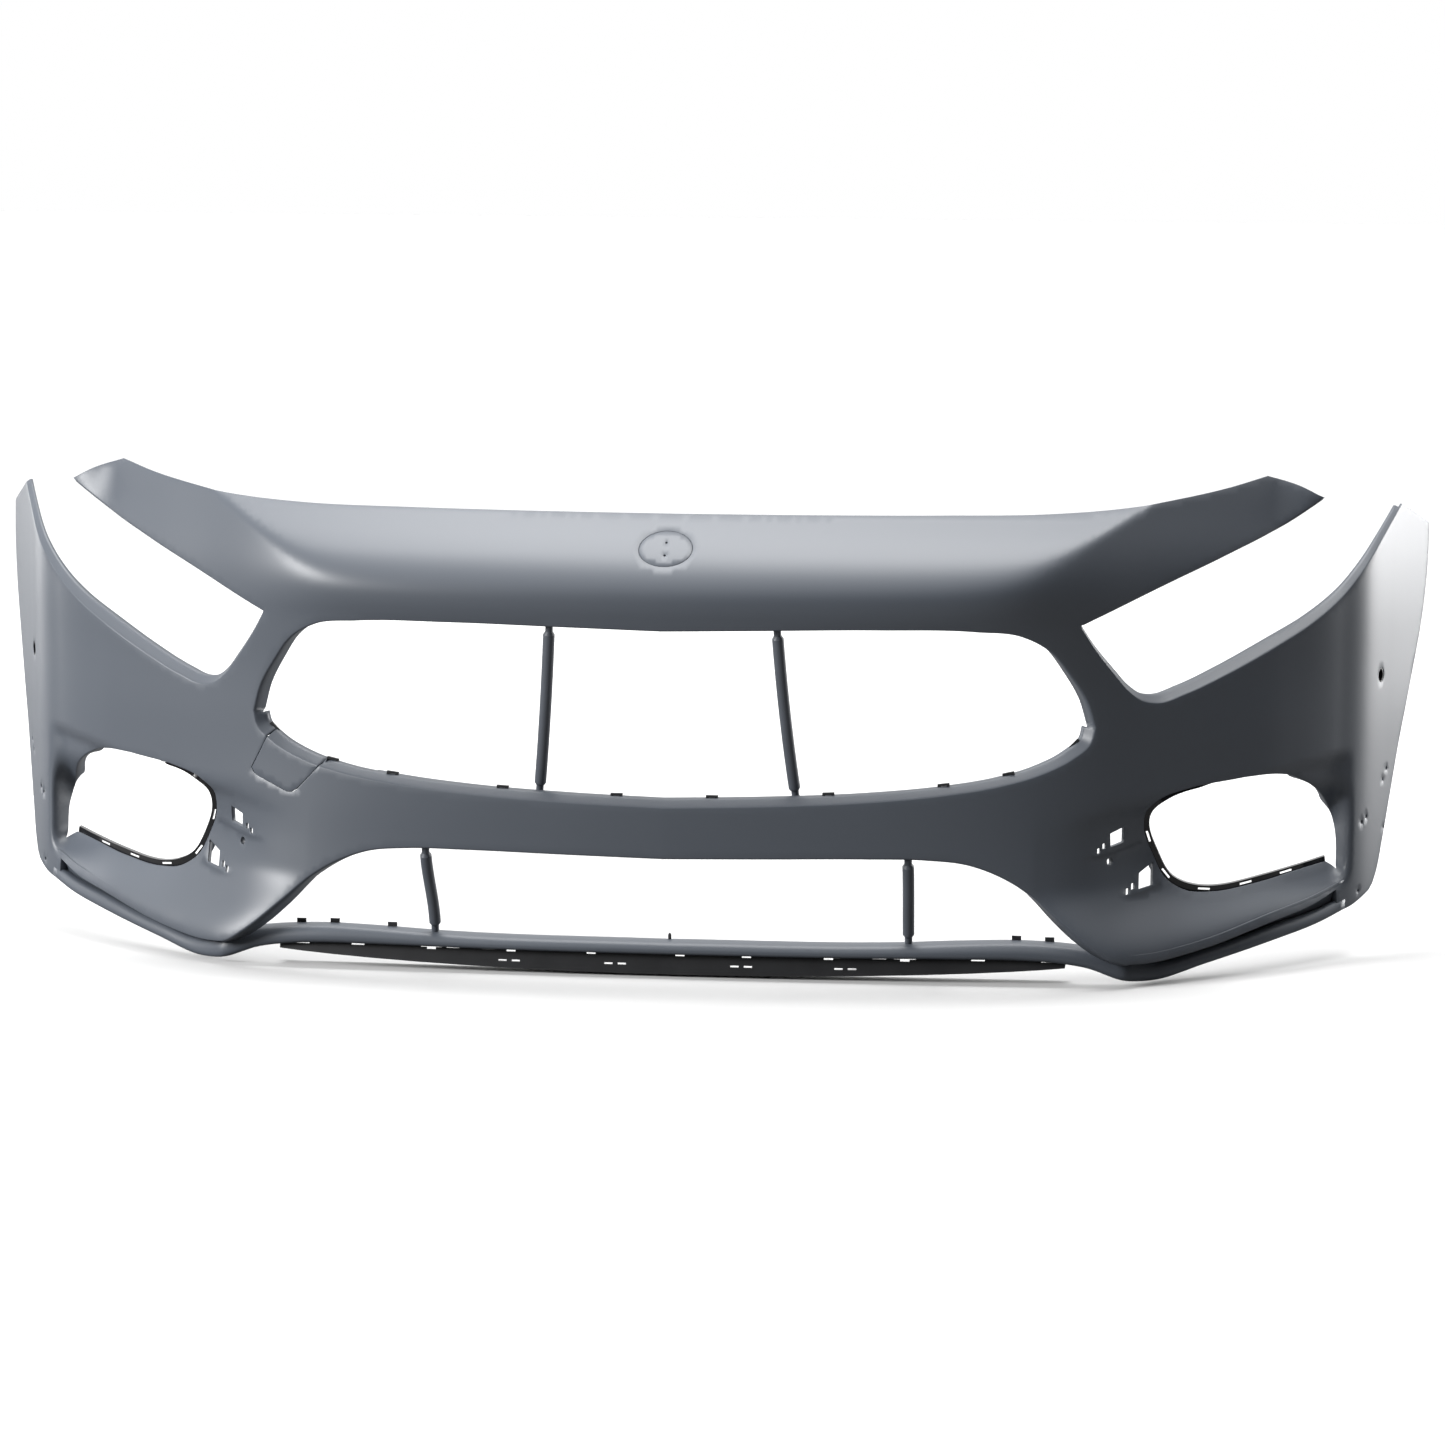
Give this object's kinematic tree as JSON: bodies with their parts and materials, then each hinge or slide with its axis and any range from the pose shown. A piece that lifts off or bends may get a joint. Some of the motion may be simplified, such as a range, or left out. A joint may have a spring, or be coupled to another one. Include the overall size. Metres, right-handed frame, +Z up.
{
  "type": "front bumper cover",
  "caption": "Moulded front bumper cover with grille, headlamp and side intake openings, trim rails, sensor holders and a pull-off tow eye cap.",
  "frame": {"origin": "middle of the upper screw line, on the top face of the screw flange", "axes": "+X across the car towards the cover's right side as seen from in front, +Y towards the rear of the car, +Z up"},
  "size_m": [1.7974, 0.5357, 0.5865],
  "materials": {
    "primer": "satin grey primer on moulded plastic",
    "black_plastic": "unpainted moulded black plastic",
    "gloss_black": "gloss black trim",
    "grey_plastic": "unpainted grey plastic"
  },
  "bodies": {
    "cover": {"cover_skin": "primer", "lower_mount_strip": "black_plastic", "grille_clips": "black_plastic", "lip_tabs": "black_plastic", "centre_pin": "black_plastic", "sensor_retainer_left": "black_plastic", "sensor_ring_left": "gloss_black", "intake_rail_left": "gloss_black", "upper_strut_left": "primer", "lower_strut_left": "primer", "fender_loops_left": "grey_plastic", "sensor_retainer_right": "black_plastic", "sensor_ring_right": "gloss_black", "intake_rail_right": "gloss_black", "upper_strut_right": "primer", "lower_strut_right": "primer", "fender_loops_right": "grey_plastic"},
    "tow_cap": {"tow_eye_cap": "primer"}
  },
  "joints": [
    {"name": "tow_cap_pull", "type": "slide", "parent": "cover", "child": "tow_cap", "axis": [0, -1, 0], "range_m": [0, 0.05]}
  ]
}
